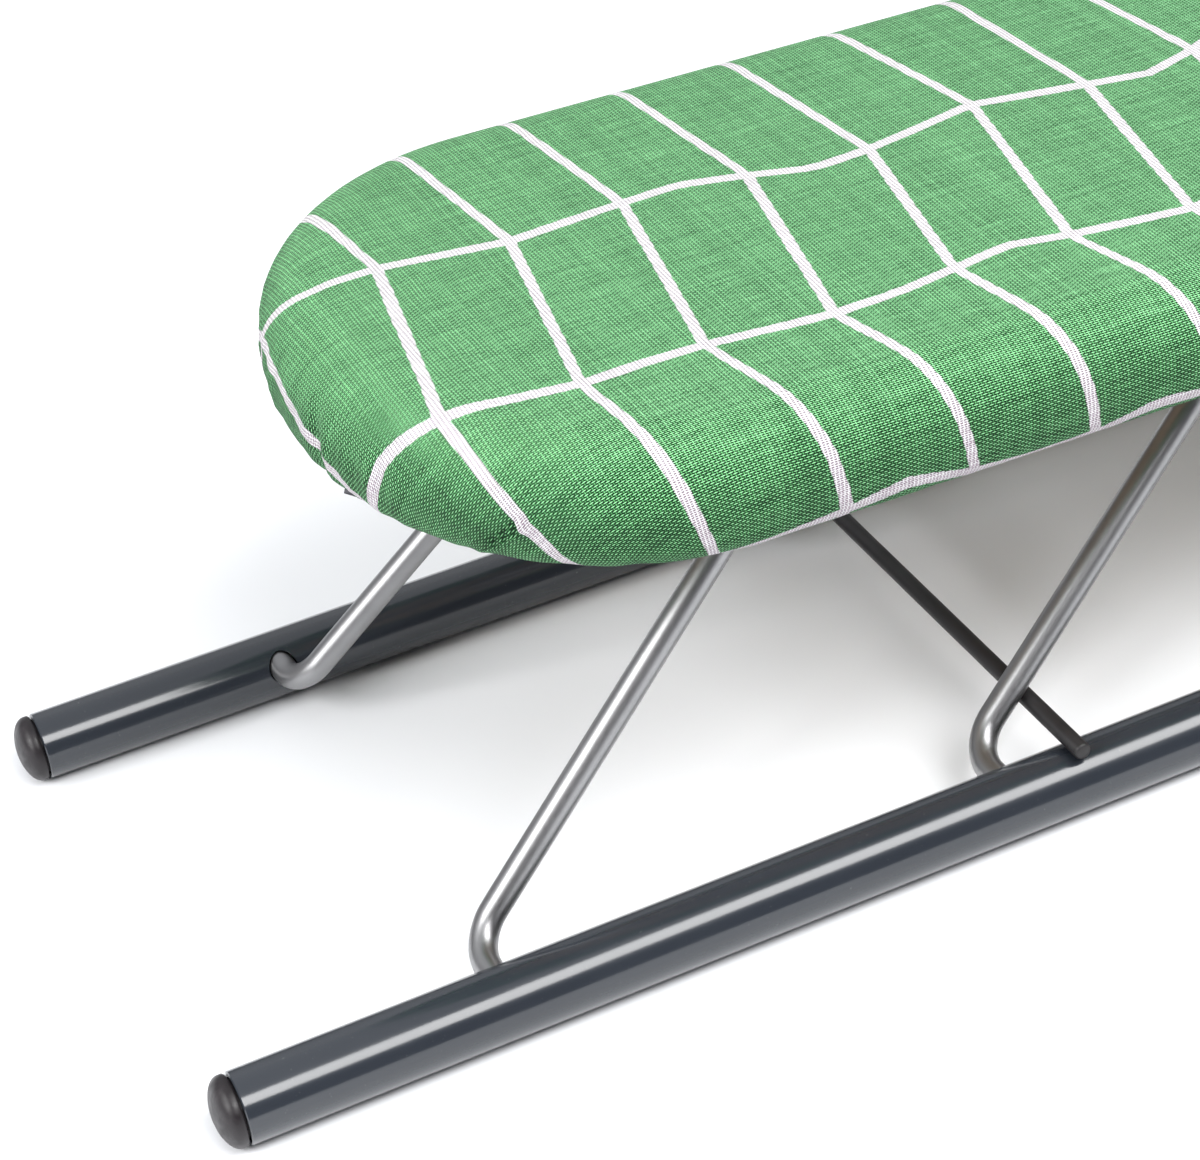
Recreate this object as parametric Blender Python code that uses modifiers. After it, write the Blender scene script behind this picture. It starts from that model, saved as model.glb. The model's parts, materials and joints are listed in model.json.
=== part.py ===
"""Folding sleeve ironing board: a padded board on two wire legs, over a base of two tubes.

Metres, +Z up. The floor is z = 0, and the origin lies on it under the middle of the overall box.
+X runs along the board from its round tip to its rear end, and Y = 0 is midway between the tubes.
"""

from math import cos, pi, radians, sin, tan

import bmesh
import bpy
from mathutils import Matrix, Vector

# Pieces that touch keep this gap between their meshes.
GAP = 0.0003

# Base: two round tubes with a plug in each end, and two rods across their tops.
TUBE_RADIUS = 0.00635
TUBE_WALL = 0.0010
TUBE_LENGTH = 0.520
TUBE_SPACING = 0.1106
PLUG_RIM = 0.0010
PLUG_DOME = 0.0031
PLUG_STUB = 0.012
CROSSBAR_RADIUS = 0.0016
CROSSBAR_OVERHANG = 0.0038
CROSSBAR_EDGE = 0.0004
REAR_CROSSBAR_AT = 0.430

# Wire legs: places along the tubes are measured from the tubes' front ends.
WIRE_RADIUS = 0.0025
PIVOT_HEIGHT = 0.0088
PIVOT_HOLE_RADIUS = 0.0028
FRONT_PIVOT_AT = 0.0474
REAR_PIVOT_AT = 0.1441
LEG_LEAN = radians(46.4)
LEG_LENGTH = 0.0993
LEG_TAPER = radians(7.3)
LEG_CORNER_INBOARD = 0.01345
LEG_BEND_RADIUS = 0.008
LEG_END_INBOARD = 0.0010

# Board: the sizes over the cover, then what is under it.
BOARD_LENGTH = 0.510
BOARD_HALF_WIDTH = 0.065
BOARD_SLOPE = radians(1.55)
TIP_AHEAD_OF_HINGE = 0.0750
NOSE_LENGTH = 0.0555
NOSE_POWER = 2.1
TAIL_LENGTH = 0.045
TAIL_POWER = 2.7
TOP_ROUND = 0.012
BOTTOM_ROUND = 0.0058
COVER_THICKNESS = 0.0005
HEM_WIDTH = 0.020
ELASTIC_RADIUS = 0.0012
PAD_THICKNESS = 0.0089
PAD_SKIRT = 0.0036
PANEL_THICKNESS = 0.010
PANEL_EDGE = 0.0008

# Hinge saddles under the panel, each held by two screws.
SADDLE_AT_Y = 0.014
SADDLE_WIDTH = 0.010
SADDLE_SHEET = 0.001
SADDLE_EAR = 0.010
SCREW_FROM_AXIS = 0.0088
SCREW_RADIUS = 0.0015
SCREW_HEAD_RADIUS = 0.0029
SCREW_HEAD_HEIGHT = 0.0018
SCREW_LENGTH = 0.0088
SCREW_POINT = 0.0025
SCREW_SLOT_LENGTH = 0.0030
SCREW_SLOT_WIDTH = 0.0006
SCREW_SLOT_DEPTH = 0.0010
SCREW_HOLE_RADIUS = 0.0018
SCREW_HOLE_DEPTH = 0.0076
STRIP_LENGTH = 0.052
STRIP_WIDTH = 0.032
STRIP_EDGE = 0.0004

# Worked out from the sizes above.
BORE_RADIUS = TUBE_RADIUS - TUBE_WALL
PLUG_LENGTH = GAP + PLUG_RIM + PLUG_DOME
PIVOT_SPACING = REAR_PIVOT_AT - FRONT_PIVOT_AT
HINGE_AHEAD = LEG_LENGTH * sin(LEG_LEAN)
HINGE_HEIGHT = PIVOT_HEIGHT + LEG_LENGTH * cos(LEG_LEAN)
BOARD_REACH = (BOARD_LENGTH - TIP_AHEAD_OF_HINGE) * cos(BOARD_SLOPE)
CROSSBAR_HEIGHT = 2 * TUBE_RADIUS + GAP + CROSSBAR_RADIUS

# The front crossbar is the stop that the rear leg leans on.
LEG_TO_CROSSBAR = WIRE_RADIUS + GAP + CROSSBAR_RADIUS
CROSSBAR_ABOVE_PIVOT = CROSSBAR_HEIGHT - PIVOT_HEIGHT
FRONT_CROSSBAR_AT = REAR_PIVOT_AT + (
    LEG_TO_CROSSBAR + CROSSBAR_ABOVE_PIVOT * sin(LEG_LEAN)
) / cos(LEG_LEAN)

# Heights in the board's own frame, whose origin is the front hinge axis and which slopes with the board.
REAR_HINGE_X = PIVOT_SPACING * cos(BOARD_SLOPE)
REAR_HINGE_Z = PIVOT_SPACING * sin(BOARD_SLOPE)
PANEL_BOTTOM = REAR_HINGE_Z + WIRE_RADIUS + GAP
PANEL_TOP = PANEL_BOTTOM + PANEL_THICKNESS
PAD_TOP = PANEL_TOP + GAP + PAD_THICKNESS
COVER_TOP = PAD_TOP + GAP + COVER_THICKNESS
COVER_BOTTOM = PANEL_BOTTOM - GAP - COVER_THICKNESS
PAD_INSET = COVER_THICKNESS + GAP
CAVITY_INSET = PAD_INSET + PAD_SKIRT
PANEL_INSET = CAVITY_INSET + GAP

# The overall box runs from the front plugs' domes to the top of the board's upright rear side.
REAR_SIDE_LEANS = (COVER_TOP - TOP_ROUND) * sin(BOARD_SLOPE)
OVERALL_LENGTH = PLUG_LENGTH + FRONT_PIVOT_AT + HINGE_AHEAD + BOARD_REACH + REAR_SIDE_LEANS
TUBE_FRONT_X = PLUG_LENGTH - OVERALL_LENGTH / 2

TUBE_SIDES = 40
NOSE_STEPS = 26
TAIL_STEPS = 22
ROUND_STEPS = 4


# ---- scene, materials and small helpers ----


def clear_scene():
    for obj in list(bpy.data.objects):
        bpy.data.objects.remove(obj, do_unlink=True)


def new_collection(name):
    collection = bpy.data.collections.new(name)
    bpy.context.scene.collection.children.link(collection)
    return collection


def new_material(name, colour, roughness, metallic=0.0):
    material = bpy.data.materials.new(name)
    material.use_nodes = True
    shader = material.node_tree.nodes["Principled BSDF"]
    shader.inputs["Base Color"].default_value = (*colour, 1.0)
    shader.inputs["Roughness"].default_value = roughness
    shader.inputs["Metallic"].default_value = metallic
    return material


def new_object(name, data, collection, material=None, parent=None):
    obj = bpy.data.objects.new(name, data)
    collection.objects.link(obj)
    if material and not data.materials:
        data.materials.append(material)
    obj.parent = parent
    return obj


def mesh_of(bm, name):
    bmesh.ops.recalc_face_normals(bm, faces=bm.faces)
    mesh = bpy.data.meshes.new(name)
    bm.to_mesh(mesh)
    bm.free()
    return mesh


def cylinder_mesh(name, radius, length, sides):
    """A cylinder along Z, centred on its origin."""
    bm = bmesh.new()
    bmesh.ops.create_cone(
        bm, cap_ends=True, segments=sides, radius1=radius, radius2=radius, depth=length
    )
    return mesh_of(bm, name)


def box_mesh(name, size):
    bm = bmesh.new()
    bmesh.ops.create_cube(bm, size=1.0)
    bmesh.ops.scale(bm, vec=size, verts=bm.verts)
    return mesh_of(bm, name)


def turned_mesh(name, profile, closed=False):
    """An edge chain of (radius, height) points, for a Screw modifier to turn."""
    bm = bmesh.new()
    points = [bm.verts.new((radius, 0.0, height)) for radius, height in profile]
    for first, second in zip(points, points[1:]):
        bm.edges.new((first, second))
    if closed:
        bm.edges.new((points[-1], points[0]))
    mesh = bpy.data.meshes.new(name)
    bm.to_mesh(mesh)
    bm.free()
    return mesh


def add_screw(obj, steps):
    turn = obj.modifiers.new("Turn", "SCREW")
    turn.steps = steps
    turn.render_steps = steps
    turn.use_merge_vertices = True
    turn.merge_threshold = 1e-5
    turn.use_smooth_shade = True


def add_bevel(obj, width, segments, limit="ANGLE"):
    bevel = obj.modifiers.new("Edge", "BEVEL")
    bevel.width = width
    bevel.segments = segments
    bevel.limit_method = limit
    bevel.use_clamp_overlap = False


def add_cut(obj, cutter):
    boolean = obj.modifiers.new("Cut", "BOOLEAN")
    boolean.operation = "DIFFERENCE"
    boolean.solver = "EXACT"
    boolean.object = cutter


def hide_cutter(obj):
    obj.hide_render = True
    obj.display_type = "WIRE"


def cut_cylinder(target, name, location, axis, radius, length, sides, collection, parent=None):
    """Cuts a round hole along Y or Z, centred on location."""
    cutter = new_object(name, cylinder_mesh(name, radius, length, sides), collection, parent=parent)
    cutter.location = location
    if axis == "Y":
        cutter.rotation_euler = (pi / 2, 0.0, 0.0)
    hide_cutter(cutter)
    add_cut(target, cutter)


def smooth(obj, angle=40):
    obj.data.shade_smooth()
    obj.data.set_sharp_from_angle(angle=radians(angle))


def frozen_mesh(obj):
    """The object's mesh with its modifiers applied, after which the object is removed."""
    graph = bpy.context.evaluated_depsgraph_get()
    mesh = bpy.data.meshes.new_from_object(obj.evaluated_get(graph))
    bpy.data.objects.remove(obj, do_unlink=True)
    return mesh


# ---- base ----


def make_tube(name, y, material, parts, cutters):
    """A hollow tube with a hole for each wire end in the wall that faces the other tube."""
    half = TUBE_LENGTH / 2
    wall = [(TUBE_RADIUS, half), (TUBE_RADIUS, -half), (BORE_RADIUS, -half), (BORE_RADIUS, half)]
    tube = new_object(name, turned_mesh(name, wall, closed=True), parts, material)
    add_screw(tube, TUBE_SIDES)
    tube.location = (TUBE_FRONT_X + half, y, TUBE_RADIUS)
    tube.rotation_euler = (0.0, pi / 2, 0.0)
    inward = -1 if y > 0 else 1
    depth = 2 * (TUBE_RADIUS - TUBE_WALL / 2)
    for label, along in (("front", FRONT_PIVOT_AT), ("rear", REAR_PIVOT_AT)):
        place = (TUBE_FRONT_X + along, y + inward * TUBE_RADIUS, PIVOT_HEIGHT)
        cut_cylinder(tube, f"{name}_{label}_hole", place, "Y", PIVOT_HOLE_RADIUS, depth, 20, cutters)


def make_plug(name, x, y, outward, material, parts):
    """A push-in end plug: a shallow dome on a rim, with a stub inside the tube."""
    dome_top = PLUG_LENGTH
    rim_top = GAP + PLUG_RIM
    profile = [(0.0, dome_top)]
    for step in range(1, 5):
        angle = step / 4 * pi / 2
        profile.append((TUBE_RADIUS * sin(angle), rim_top + PLUG_DOME * cos(angle)))
    stub_radius = BORE_RADIUS - GAP
    profile += [(TUBE_RADIUS, GAP), (stub_radius, GAP)]
    profile += [(stub_radius, -PLUG_STUB), (0.0, -PLUG_STUB)]
    plug = new_object(name, turned_mesh(name, profile), parts, material)
    add_screw(plug, 24)
    plug.location = (x, y, TUBE_RADIUS)
    plug.rotation_euler = (0.0, outward * pi / 2, 0.0)


def make_crossbar(name, along, material, parts):
    """A thin rod lying across the tops of both tubes, ending a little past their centre-lines."""
    mesh = cylinder_mesh(name, CROSSBAR_RADIUS, TUBE_SPACING + 2 * CROSSBAR_OVERHANG, 16)
    bar = new_object(name, mesh, parts, material)
    bar.location = (TUBE_FRONT_X + along, 0.0, CROSSBAR_HEIGHT)
    bar.rotation_euler = (pi / 2, 0.0, 0.0)
    add_bevel(bar, CROSSBAR_EDGE, 2)
    smooth(bar)


# ---- wire legs ----


def rounded_path(corners, radius, steps):
    """The corner points joined by straight runs, with each inner corner turned as an arc."""
    path = [corners[0]]
    for before, corner, after in zip(corners, corners[1:], corners[2:]):
        entering = (corner - before).normalized()
        leaving = (after - corner).normalized()
        half_turn = entering.angle(leaving) / 2
        start = corner - entering * radius * tan(half_turn)
        centre = corner + (leaving - entering).normalized() * radius / cos(half_turn)
        spoke = start - centre
        for step in range(steps + 1):
            turn = 2 * half_turn * step / steps
            path.append(centre + spoke * cos(turn) + entering * radius * sin(turn))
    path.append(corners[-1])
    return path


def make_leg(name, along, material, parts):
    """A U of wire. Its origin is on the pivot axis, and it leans towards +X."""
    end_y = TUBE_SPACING / 2 - LEG_END_INBOARD
    low_y = TUBE_SPACING / 2 - LEG_CORNER_INBOARD
    high_y = low_y - LEG_LENGTH * tan(LEG_TAPER)
    half = [(end_y, 0.0), (low_y, 0.0), (high_y, LEG_LENGTH)]
    corners = [Vector((0.0, y, z)) for y, z in half]
    corners += [Vector((0.0, -y, z)) for y, z in reversed(half)]
    points = rounded_path(corners, LEG_BEND_RADIUS, 7)
    curve = bpy.data.curves.new(name, "CURVE")
    curve.dimensions = "3D"
    curve.bevel_depth = WIRE_RADIUS
    curve.bevel_resolution = 4
    curve.use_fill_caps = True
    spline = curve.splines.new("POLY")
    spline.points.add(len(points) - 1)
    for point, place in zip(spline.points, points):
        point.co = (*place, 1.0)
    leg = new_object(name, curve, parts, material)
    leg.location = (TUBE_FRONT_X + along, 0.0, PIVOT_HEIGHT)
    leg.rotation_euler = (0.0, LEG_LEAN, 0.0)


# ---- board ----


def outline(inset):
    """Points round the board's plan, moved in by inset: the round tip, then the squarer rear end."""
    tip = -TIP_AHEAD_OF_HINGE
    half = BOARD_HALF_WIDTH - inset

    def end(centre, length, power, steps, turn_from):
        for step in range(steps + 1):
            angle = turn_from + pi * step / steps
            across, along = sin(angle), cos(angle)
            x = centre + (length - inset) * abs(along) ** (2 / power) * (1 if along > 0 else -1)
            yield x, half * abs(across) ** (2 / power) * (1 if across > 0 else -1)

    nose = end(tip + NOSE_LENGTH, NOSE_LENGTH, NOSE_POWER, NOSE_STEPS, pi / 2)
    tail = end(tip + BOARD_LENGTH - TAIL_LENGTH, TAIL_LENGTH, TAIL_POWER, TAIL_STEPS, -pi / 2)
    return [*nose, *tail]


def pairs(loop):
    """Each item of a closed loop with the next one."""
    return zip(loop, loop[1:] + loop[:1])


def block_mesh(name, inset, bottom, top, top_round=0.0, bottom_round=0.0, hem=None):
    """A block of the board's plan. A hem leaves it open below, with a ring that wide turned under.

    Its rounded edges carry bevel weights, as shares of TOP_ROUND.
    """
    rings = [(inset, top), (inset, bottom)]
    if hem is not None:
        rings.append((hem, bottom))
    bm = bmesh.new()
    weight = bm.edges.layers.float.new("bevel_weight_edge")
    loops = [[bm.verts.new((x, y, z)) for x, y in outline(moved_in)] for moved_in, z in rings]
    for upper, lower in zip(loops, loops[1:]):
        for (a, b), (c, d) in zip(pairs(upper), pairs(lower)):
            bm.faces.new((a, c, d, b))
    bm.faces.new(loops[0])
    if hem is None:
        bm.faces.new(loops[-1][::-1])
    for loop, rounding in ((loops[0], top_round), (loops[1], bottom_round)):
        for ends in pairs(loop):
            bm.edges.get(ends)[weight] = rounding / TOP_ROUND
    mesh = bpy.data.meshes.new(name)
    bm.to_mesh(mesh)
    bm.free()
    return mesh


def make_cover(material, parts, board):
    mesh = block_mesh(
        "fabric_cover", 0.0, COVER_BOTTOM, COVER_TOP, TOP_ROUND, BOTTOM_ROUND, hem=HEM_WIDTH
    )
    cover = new_object("fabric_cover", mesh, parts, material, board)
    add_bevel(cover, TOP_ROUND, ROUND_STEPS, "WEIGHT")
    shell = cover.modifiers.new("Cloth", "SOLIDIFY")
    shell.thickness = COVER_THICKNESS
    shell.offset = -1.0
    shell.use_even_offset = True
    smooth(cover, 60)


def make_pad(material, parts, cutters, board):
    """The foam lies on the panel and turns down over its sides."""
    bottom = COVER_BOTTOM + PAD_INSET
    mesh = block_mesh(
        "foam_pad", PAD_INSET, bottom, PAD_TOP, TOP_ROUND - PAD_INSET, BOTTOM_ROUND - PAD_INSET
    )
    pad = new_object("foam_pad", mesh, parts, material, board)
    add_bevel(pad, TOP_ROUND, ROUND_STEPS, "WEIGHT")
    cavity = block_mesh("pad_cavity", CAVITY_INSET, bottom - PANEL_THICKNESS, PANEL_TOP + GAP)
    cutter = new_object("pad_cavity", cavity, cutters, parent=board)
    hide_cutter(cutter)
    add_cut(pad, cutter)
    smooth(pad, 60)


def make_panel(material, parts, cutters, board):
    mesh = block_mesh("board_panel", PANEL_INSET, PANEL_BOTTOM, PANEL_TOP)
    panel = new_object("board_panel", mesh, parts, material, board)
    add_bevel(panel, PANEL_EDGE, 1)
    for index, (x, y, _) in enumerate(screw_places(), 1):
        place = (x, y, PANEL_BOTTOM)
        cut_cylinder(
            panel, f"panel_hole_{index}", place, "Z",
            SCREW_HOLE_RADIUS, 2 * SCREW_HOLE_DEPTH, 12, cutters, board,
        )


def make_elastic(material, parts, board):
    """The elastic that runs all the way round in the hem, just inside its edge."""
    points = outline(HEM_WIDTH + GAP + ELASTIC_RADIUS)[::2]
    curve = bpy.data.curves.new("hem_elastic", "CURVE")
    curve.dimensions = "3D"
    curve.bevel_depth = ELASTIC_RADIUS
    curve.bevel_resolution = 1
    spline = curve.splines.new("POLY")
    spline.points.add(len(points) - 1)
    spline.use_cyclic_u = True
    for point, (x, y) in zip(spline.points, points):
        point.co = (x, y, PANEL_BOTTOM - GAP - ELASTIC_RADIUS, 1.0)
    new_object("hem_elastic", curve, parts, material, board)


# ---- hinges under the panel ----


def hinge_places():
    """(name, x, y, z) of each saddle: the two legs' top rods each have one on either side."""
    for label, x, z in (("front", 0.0, 0.0), ("rear", REAR_HINGE_X, REAR_HINGE_Z)):
        for side, y in (("near", -SADDLE_AT_Y), ("far", SADDLE_AT_Y)):
            yield f"{label}_{side}", x, y, z


def screw_places():
    return [
        (x + offset, y, z)
        for _, x, y, z in hinge_places()
        for offset in (-SCREW_FROM_AXIS, SCREW_FROM_AXIS)
    ]


def saddle_profile():
    """The strap's outline from the side: an ear, a U round the rod and another ear, as (x, z)."""
    inner = WIRE_RADIUS + GAP
    outer = inner + SADDLE_SHEET
    top = WIRE_RADIUS
    under = top - SADDLE_SHEET
    reach = outer + SADDLE_EAR
    arc = [pi + pi * step / 8 for step in range(9)]
    low_side = [(outer * cos(a), outer * sin(a)) for a in arc]
    high_side = [(inner * cos(a), inner * sin(a)) for a in reversed(arc)]
    lower = [(-reach, under), (-outer, under), *low_side, (outer, under), (reach, under)]
    upper = [(reach, top), (inner, top), *high_side, (-inner, top), (-reach, top)]
    return lower + upper


def saddle_mesh(parts, cutters):
    curve = bpy.data.curves.new("saddle", "CURVE")
    curve.dimensions = "2D"
    curve.fill_mode = "BOTH"
    curve.extrude = SADDLE_WIDTH / 2
    points = saddle_profile()
    spline = curve.splines.new("POLY")
    spline.points.add(len(points) - 1)
    spline.use_cyclic_u = True
    for point, (x, z) in zip(spline.points, points):
        point.co = (x, z, 0.0, 1.0)
    strip = new_object("saddle_strip", curve, parts)
    bm = bmesh.new()
    bm.from_mesh(frozen_mesh(strip))
    bmesh.ops.remove_doubles(bm, verts=bm.verts, dist=1e-6)
    bmesh.ops.rotate(bm, verts=bm.verts, matrix=Matrix.Rotation(pi / 2, 3, "X"))
    plain = new_object("saddle_plain", mesh_of(bm, "saddle_plain"), parts)
    for label, x in (("a", -SCREW_FROM_AXIS), ("b", SCREW_FROM_AXIS)):
        cut_cylinder(
            plain, f"saddle_hole_{label}", (x, 0.0, WIRE_RADIUS), "Z",
            SCREW_HOLE_RADIUS, 4 * SADDLE_SHEET, 16, cutters,
        )
    return frozen_mesh(plain)


def make_saddles(material, parts, cutters, board):
    mesh = saddle_mesh(parts, cutters)
    mesh.name = "hinge_saddle"
    mesh.materials.clear()
    for name, x, y, z in hinge_places():
        saddle = new_object(f"saddle_{name}", mesh, parts, material, board)
        saddle.location = (x, y, z)
    smooth(saddle, 30)


def screw_mesh(parts, cutters):
    """A pan-head screw, point up, with a cross recess. Its origin is under the head."""
    profile = [(0.0, SCREW_LENGTH), (SCREW_RADIUS, SCREW_LENGTH - SCREW_POINT)]
    profile += [(SCREW_RADIUS, 0.0)]
    profile += [(SCREW_HEAD_RADIUS, 0.0), (SCREW_HEAD_RADIUS, -SCREW_HEAD_HEIGHT / 2)]
    profile += [(SCREW_HEAD_RADIUS * 0.7, -SCREW_HEAD_HEIGHT), (0.0, -SCREW_HEAD_HEIGHT)]
    plain = new_object("screw_plain", turned_mesh("screw_plain", profile), parts)
    add_screw(plain, 12)
    for label, turn in (("x", 0.0), ("y", pi / 2)):
        size = (SCREW_SLOT_LENGTH, SCREW_SLOT_WIDTH, 2 * SCREW_SLOT_DEPTH)
        slot = new_object(f"screw_slot_{label}", box_mesh("screw_slot", size), cutters)
        slot.location = (0.0, 0.0, -SCREW_HEAD_HEIGHT)
        slot.rotation_euler = (0.0, 0.0, turn)
        hide_cutter(slot)
        add_cut(plain, slot)
    return frozen_mesh(plain)


def make_screws(material, parts, cutters, board):
    mesh = screw_mesh(parts, cutters)
    mesh.name = "saddle_screw"
    mesh.materials.clear()
    for index, (x, y, z) in enumerate(screw_places(), 1):
        screw = new_object(f"saddle_screw_{index}", mesh, parts, material, board)
        screw.location = (x, y, z + WIRE_RADIUS - SADDLE_SHEET - GAP)
    smooth(screw, 35)


def make_strip(material, parts, cutters, board):
    """The packing strip that makes the front hinge sit lower under the sloping panel."""
    bottom = WIRE_RADIUS + GAP
    height = PANEL_BOTTOM - GAP - bottom
    mesh = box_mesh("hinge_strip", (STRIP_WIDTH, STRIP_LENGTH, height))
    strip = new_object("hinge_strip", mesh, parts, material, board)
    strip.location = (0.0, 0.0, bottom + height / 2)
    add_bevel(strip, STRIP_EDGE, 1)
    for index, (x, y, _) in enumerate(screw_places()[:4], 1):
        cut_cylinder(
            strip, f"strip_hole_{index}", (x, y, bottom), "Z",
            SCREW_HOLE_RADIUS, 4 * height, 12, cutters, board,
        )


def main():
    clear_scene()
    parts = new_collection("folding_sleeve_board")
    cutters = new_collection("cutters")

    paint = new_material("grey_paint", (0.055, 0.068, 0.078), 0.25)
    plastic = new_material("black_plastic", (0.03, 0.027, 0.027), 0.5)
    steel = new_material("zinc_steel", (0.55, 0.55, 0.56), 0.35, 1.0)
    cotton = new_material("green_cotton", (0.12, 0.42, 0.15), 0.9)
    foam = new_material("white_foam", (0.85, 0.84, 0.78), 0.95)
    board_wood = new_material("chipboard", (0.55, 0.40, 0.24), 0.8)
    cord = new_material("hem_elastic", (0.10, 0.10, 0.11), 0.9)

    rear_x = TUBE_FRONT_X + TUBE_LENGTH
    for side, y in (("near", -TUBE_SPACING / 2), ("far", TUBE_SPACING / 2)):
        make_tube(f"base_tube_{side}", y, paint, parts, cutters)
        make_plug(f"end_plug_front_{side}", TUBE_FRONT_X, y, -1, plastic, parts)
        make_plug(f"end_plug_rear_{side}", rear_x, y, 1, plastic, parts)
    make_crossbar("crossbar_front", FRONT_CROSSBAR_AT, paint, parts)
    make_crossbar("crossbar_rear", REAR_CROSSBAR_AT, paint, parts)

    make_leg("front_leg", FRONT_PIVOT_AT, steel, parts)
    make_leg("rear_leg", REAR_PIVOT_AT, steel, parts)

    board = bpy.data.objects.new("board_hinge", None)
    parts.objects.link(board)
    board.location = (TUBE_FRONT_X + FRONT_PIVOT_AT + HINGE_AHEAD, 0.0, HINGE_HEIGHT)
    board.rotation_euler = (0.0, BOARD_SLOPE, 0.0)
    make_panel(board_wood, parts, cutters, board)
    make_pad(foam, parts, cutters, board)
    make_cover(cotton, parts, board)
    make_elastic(cord, parts, board)
    make_strip(board_wood, parts, cutters, board)
    make_saddles(steel, parts, cutters, board)
    make_screws(steel, parts, cutters, board)


main()
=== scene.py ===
"""Looks of a small folding ironing board: cloth, foam, paint, wire and plastic round the CAD frame.

Metres, +Z up, in the CAD's own frame. Board pieces are made in the board's frame, whose origin is
the front hinge axis, and are then laid at the board's slope.
"""

import json
import random
from math import cos, pi, radians, sin, tan

import bmesh
import bpy
import numpy as np
from mathutils import Matrix, Vector


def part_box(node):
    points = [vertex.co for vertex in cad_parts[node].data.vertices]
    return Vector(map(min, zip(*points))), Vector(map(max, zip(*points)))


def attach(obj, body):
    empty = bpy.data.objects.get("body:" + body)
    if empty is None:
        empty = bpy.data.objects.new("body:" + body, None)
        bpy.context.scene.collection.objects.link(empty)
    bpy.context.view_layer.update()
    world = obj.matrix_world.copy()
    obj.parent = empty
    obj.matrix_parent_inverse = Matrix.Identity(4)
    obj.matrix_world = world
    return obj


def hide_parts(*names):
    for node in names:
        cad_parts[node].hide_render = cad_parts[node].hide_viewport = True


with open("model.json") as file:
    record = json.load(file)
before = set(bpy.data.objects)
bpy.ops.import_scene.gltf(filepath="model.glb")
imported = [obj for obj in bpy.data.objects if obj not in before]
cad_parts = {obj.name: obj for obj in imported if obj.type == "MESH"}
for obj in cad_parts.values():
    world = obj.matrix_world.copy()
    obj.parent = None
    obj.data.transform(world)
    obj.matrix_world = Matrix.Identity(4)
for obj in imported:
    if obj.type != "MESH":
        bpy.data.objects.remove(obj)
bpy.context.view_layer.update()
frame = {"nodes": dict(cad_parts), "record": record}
GAP = 0.0003

# Base, from the CAD's boxes.
tube_low, tube_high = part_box("base_tube_near")
far_low, far_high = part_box("base_tube_far")
TUBE_RADIUS = (tube_high.z - tube_low.z) / 2
TUBE_FRONT_X, TUBE_REAR_X = tube_low.x, tube_high.x
NEAR_Y = (tube_low.y + tube_high.y) / 2
FAR_Y = (far_low.y + far_high.y) / 2
TUBE_WALL = 0.0010
BORE_RADIUS = TUBE_RADIUS - TUBE_WALL
PLUG_RADIUS = TUBE_RADIUS - 0.0001
PLUG_RIM = 0.0010
PLUG_DOME = 0.0031
PLUG_STUB = 0.010

# Wire legs.
JOINTS = {joint["name"]: joint for joint in frame["record"]["behaviour"]["joints"]}
FRONT_PIVOT = Vector(JOINTS["front_leg_pivot"]["pos_m"])
REAR_PIVOT = Vector(JOINTS["rear_leg_pivot"]["pos_m"])
HINGE = Vector(JOINTS["board_hinge"]["pos_m"])
WIRE_RADIUS = 0.0025
LEG_LEAN = radians(46.4)
LEG_LENGTH = 0.0993
LEG_TAPER = radians(7.3)
LEG_CORNER_INBOARD = 0.01345
LEG_BEND_RADIUS = 0.008
LEG_END_INBOARD = 0.0010
PIVOT_HOLE_RADIUS = 0.0028

# Board, over the cover.
BOARD_LENGTH = 0.510
BOARD_HALF_WIDTH = 0.065
BOARD_SLOPE = radians(1.55)
TIP_X = -0.0750
NOSE_LENGTH = 0.0555
NOSE_POWER = 2.1
TAIL_LENGTH = 0.045
TAIL_POWER = 2.7
NOSE_X = TIP_X + NOSE_LENGTH
TAIL_X = TIP_X + BOARD_LENGTH - TAIL_LENGTH
PANEL_BOTTOM = (REAR_PIVOT.x - FRONT_PIVOT.x) * sin(BOARD_SLOPE) + WIRE_RADIUS + GAP
PANEL_TOP = PANEL_BOTTOM + 0.010
COVER_THICKNESS = 0.0005
COVER_BOTTOM = PANEL_BOTTOM - GAP - COVER_THICKNESS
PAD_TOP = PANEL_TOP + GAP + 0.0089
COVER_TOP = PAD_TOP + GAP + COVER_THICKNESS
ROUND_ACROSS = 0.0139
ROUND_DOWN = 0.0104
BOTTOM_ROUND = 0.0058
HEM_WIDTH = 0.020
ELASTIC_RADIUS = 0.0012
ELASTIC_INSET = HEM_WIDTH + GAP + ELASTIC_RADIUS
ELASTIC_Z = PANEL_BOTTOM - GAP - ELASTIC_RADIUS

# The foam's side wall, the height of its inner foot, and how far its underside reaches in.
PAD_SIDE = 0.0036
PAD_FOOT = 0.0026
PAD_LEDGE = 0.035

# How far the cover's faces move off a plain shape.
TOP_CROWN = 0.0003
SIDE_BULGE = 0.0003
TIP_FOLD = 0.0002
HEM_RIPPLE = 0.0005
HEM_DROP = 0.0010

# Folds in the nose's side: x, y, depth, half width.
TIP_PUCKER = (-0.0740, -0.0101, 0.0008, 0.0024)
SIDE_CREASE = (-0.0636, -0.0412, 0.0015, 0.0010)
CREASE_LEAN = 1.2

# How strong the folds are at depths below the cover's top.
FOLD_DEPTHS, FOLD_STRENGTHS = (0.004, 0.011, 0.016, 0.021), (0.0, 1.0, 0.9, 0.5)
CREASE_DEPTHS, CREASE_STRENGTHS = (0.008, 0.013, 0.018), (0.0, 1.0, 0.4)

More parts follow.
